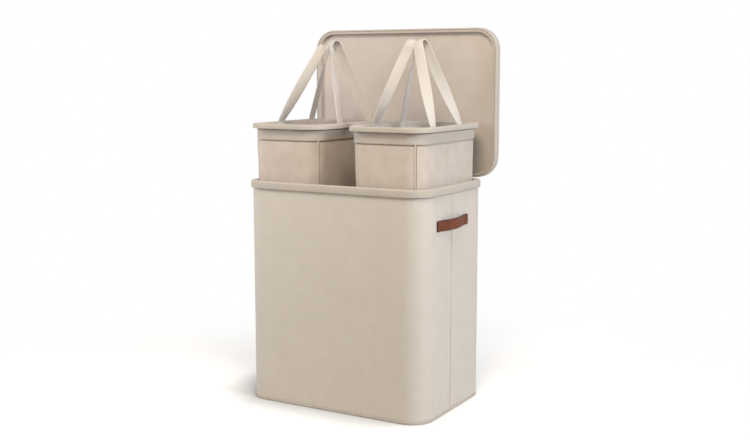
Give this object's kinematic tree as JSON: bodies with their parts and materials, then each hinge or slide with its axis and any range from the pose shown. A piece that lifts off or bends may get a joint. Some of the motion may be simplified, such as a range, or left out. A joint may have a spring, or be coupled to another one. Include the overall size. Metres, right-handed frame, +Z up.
{
  "type": "laundry hamper",
  "caption": "Tall fabric-covered laundry hamper with rounded corners, a hinged lid standing open, leather side handles and lift-out bins with webbing loops.",
  "frame": {"origin": "middle of the underside, on the floor", "axes": "+Z up; the wide front faces -Y, and the lid is hinged at the back, +Y; +X is to the right seen from the front"},
  "size_m": [0.599, 0.435, 1.042],
  "materials": {
    "outer_fabric": "tightly woven linen-look polyester, beige, matt",
    "lining_fabric": "plain woven lining, warm beige, matt",
    "bag_fabric": "stiffened linen-look bag cloth, warm beige, matt",
    "stiffener_board": "pressed fibreboard, sealed inside the fabric",
    "handle_leather": "smooth chestnut leather, semi-matt, dark burnished edges",
    "cotton_webbing": "cream cotton webbing, ribbed weave, matt"
  },
  "bodies": {
    "hamper": {"base_cover": "outer_fabric", "base_board": "stiffener_board", "base_binding": "outer_fabric", "floor_lining": "lining_fabric", "front_wall_board": "stiffener_board", "back_wall_board": "stiffener_board", "front_outer_cover": "outer_fabric", "back_outer_cover": "outer_fabric", "wall_lining": "lining_fabric", "top_rim": "outer_fabric", "left_seam_welt": "outer_fabric", "right_seam_welt": "outer_fabric", "left_leather_handle": "handle_leather", "right_leather_handle": "handle_leather", "hinge_body_leaf": "outer_fabric"},
    "lid": {"lid_frame": "outer_fabric", "lid_lining": "lining_fabric", "lid_board": "stiffener_board", "lid_outer_cover": "outer_fabric", "hinge_lid_leaf": "outer_fabric"},
    "left_bin": {"left_bin_rim": "outer_fabric", "left_bin_cuff": "outer_fabric", "left_bin_bag": "bag_fabric", "left_bin_stiffening_band": "stiffener_board", "left_bin_base_board": "stiffener_board", "left_bin_outer_front_tab": "cotton_webbing", "left_bin_outer_back_tab": "cotton_webbing", "left_bin_inner_front_tab": "cotton_webbing", "left_bin_inner_back_tab": "cotton_webbing"},
    "right_bin": {"right_bin_rim": "outer_fabric", "right_bin_cuff": "outer_fabric", "right_bin_bag": "bag_fabric", "right_bin_stiffening_band": "stiffener_board", "right_bin_base_board": "stiffener_board", "right_bin_outer_front_tab": "cotton_webbing", "right_bin_outer_back_tab": "cotton_webbing", "right_bin_inner_front_tab": "cotton_webbing", "right_bin_inner_back_tab": "cotton_webbing"},
    "left_outer_loop": {"left_bin_outer_loop": "cotton_webbing"},
    "left_inner_loop": {"left_bin_inner_loop": "cotton_webbing"},
    "right_outer_loop": {"right_bin_outer_loop": "cotton_webbing"},
    "right_inner_loop": {"right_bin_inner_loop": "cotton_webbing"}
  },
  "joints": [
    {"name": "lid_hinge", "type": "hinge", "parent": "hamper", "child": "lid", "pos_m": [0, 0.2115, 0.6181], "axis": [1, 0, 0], "range_deg": [-90, 2]},
    {"name": "left_bin_lift", "type": "slide", "parent": "hamper", "child": "left_bin", "axis": [0, 0, 1], "range_m": [-0.1447, 0.46]},
    {"name": "right_bin_lift", "type": "slide", "parent": "hamper", "child": "right_bin", "axis": [0, 0, 1], "range_m": [-0.1447, 0.46]},
    {"name": "left_outer_loop_fold", "type": "hinge", "parent": "left_bin", "child": "left_outer_loop", "pos_m": [-0.25575, 0, 0.77885], "axis": [0, -1, 0], "range_deg": [0, 83]},
    {"name": "left_inner_loop_fold", "type": "hinge", "parent": "left_bin", "child": "left_inner_loop", "pos_m": [-0.05675, 0, 0.77885], "axis": [0, 1, 0], "range_deg": [0, 26]},
    {"name": "right_inner_loop_fold", "type": "hinge", "parent": "right_bin", "child": "right_inner_loop", "pos_m": [0.05675, 0, 0.77885], "axis": [0, -1, 0], "range_deg": [0, 27]},
    {"name": "right_outer_loop_fold", "type": "hinge", "parent": "right_bin", "child": "right_outer_loop", "pos_m": [0.25575, 0, 0.77885], "axis": [0, 1, 0], "range_deg": [0, 77]}
  ]
}
